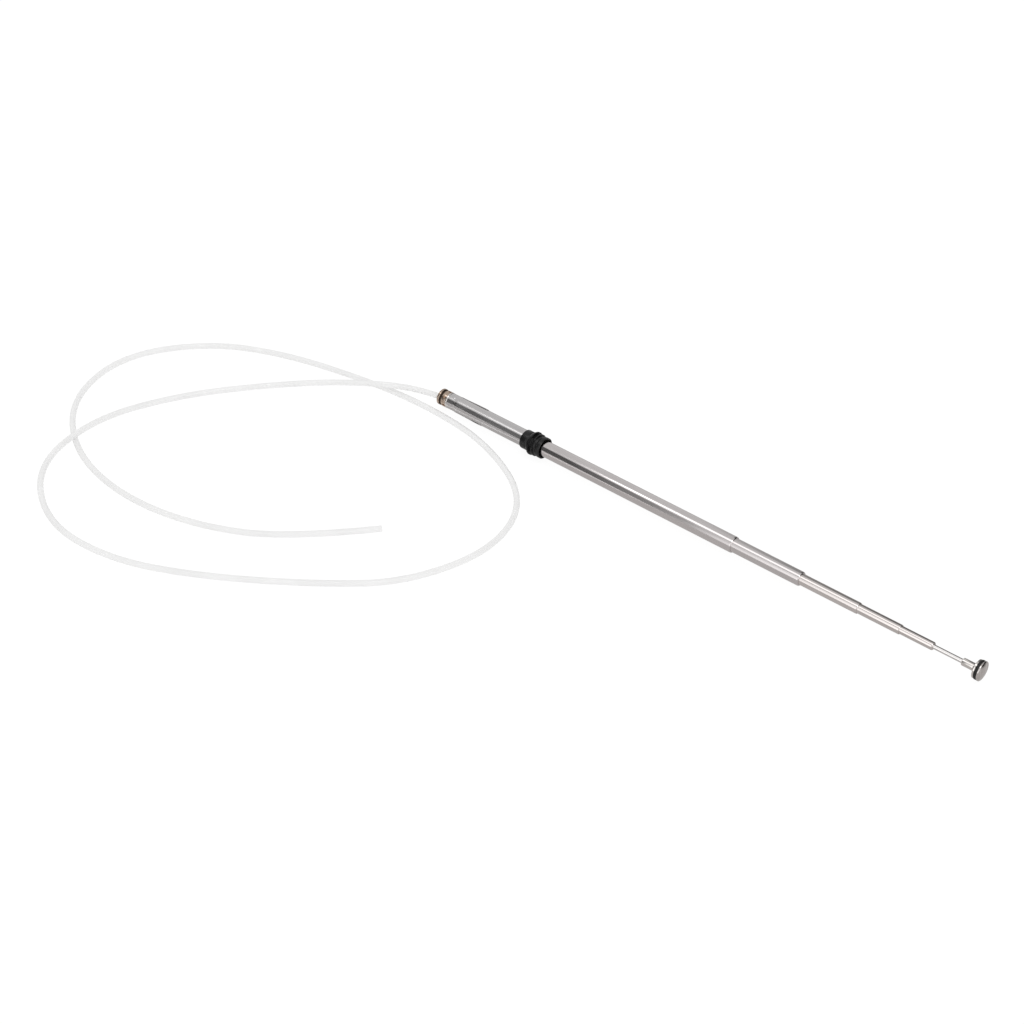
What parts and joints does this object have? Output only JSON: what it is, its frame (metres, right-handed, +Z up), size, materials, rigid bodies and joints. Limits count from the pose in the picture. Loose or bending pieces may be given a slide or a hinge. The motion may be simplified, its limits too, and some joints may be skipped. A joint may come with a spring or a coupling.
{
  "type": "telescopic car aerial mast",
  "caption": "Telescopic aerial mast of nested bright tubes with a contact sleeve, a black guide bush, a domed tip and a toothed white nylon drive cable.",
  "frame": {"origin": "on the mast's axis, at the rear face of the contact ring", "axes": "+X along the mast from its base to its tip; +Z up from the surface that it lies on"},
  "size_m": [0.4702, 0.2017, 0.012],
  "materials": {
    "copper_ring": "satin turned copper alloy with darkened groove",
    "bright_steel": "polished, fine turning lines",
    "nylon": "natural white, slightly translucent",
    "sleeve_steel": "satin drawn steel",
    "tube_steel": "polished with fine lines along its length",
    "rod_steel": "polished",
    "bronze": "satin spring bronze",
    "brushed_cap": "brushed dome",
    "black_rubber": "matt",
    "black_plastic": "moulded, slight sheen"
  },
  "bodies": {
    "mast_base": {"contact_ring": "copper_ring", "ring_washer": "bright_steel", "cable_liner": "nylon", "contact_sleeve": "sleeve_steel", "tube_1": "tube_steel", "drive_cable": "nylon"},
    "section_2": {"tube_2": "tube_steel", "contact_spring_2": "bronze"},
    "section_3": {"tube_3": "tube_steel", "contact_spring_3": "bronze"},
    "section_4": {"tube_4": "tube_steel", "contact_spring_4": "bronze"},
    "section_5": {"tube_5": "tube_steel", "contact_spring_5": "bronze"},
    "rod_and_tip": {"tip_rod": "rod_steel", "rod_spring": "bronze", "cable_crimp": "bright_steel", "cable_stub": "nylon", "tip_ferrule": "bright_steel", "tip_base": "bright_steel", "tip_seal": "black_rubber", "tip_cap": "brushed_cap"},
    "bush": {"guide_bush": "black_plastic", "bush_wiper": "black_rubber"}
  },
  "joints": [
    {"name": "tube_2_slide", "type": "slide", "parent": "mast_base", "child": "section_2", "axis": [1, 0, 0], "range_m": [-0.0355, 0.124]},
    {"name": "tube_3_slide", "type": "slide", "parent": "section_2", "child": "section_3", "axis": [1, 0, 0], "range_m": [-0.0291, 0.1274]},
    {"name": "tube_4_slide", "type": "slide", "parent": "section_3", "child": "section_4", "axis": [1, 0, 0], "range_m": [-0.02, 0.1335]},
    {"name": "tube_5_slide", "type": "slide", "parent": "section_4", "child": "section_5", "axis": [1, 0, 0], "range_m": [-0.0148, 0.1357]},
    {"name": "rod_slide", "type": "slide", "parent": "section_5", "child": "rod_and_tip", "axis": [1, 0, 0], "range_m": [-0.0136, 0.1295]},
    {"name": "bush_slide", "type": "slide", "parent": "mast_base", "child": "bush", "axis": [1, 0, 0], "range_m": [0, 0.1142]}
  ]
}
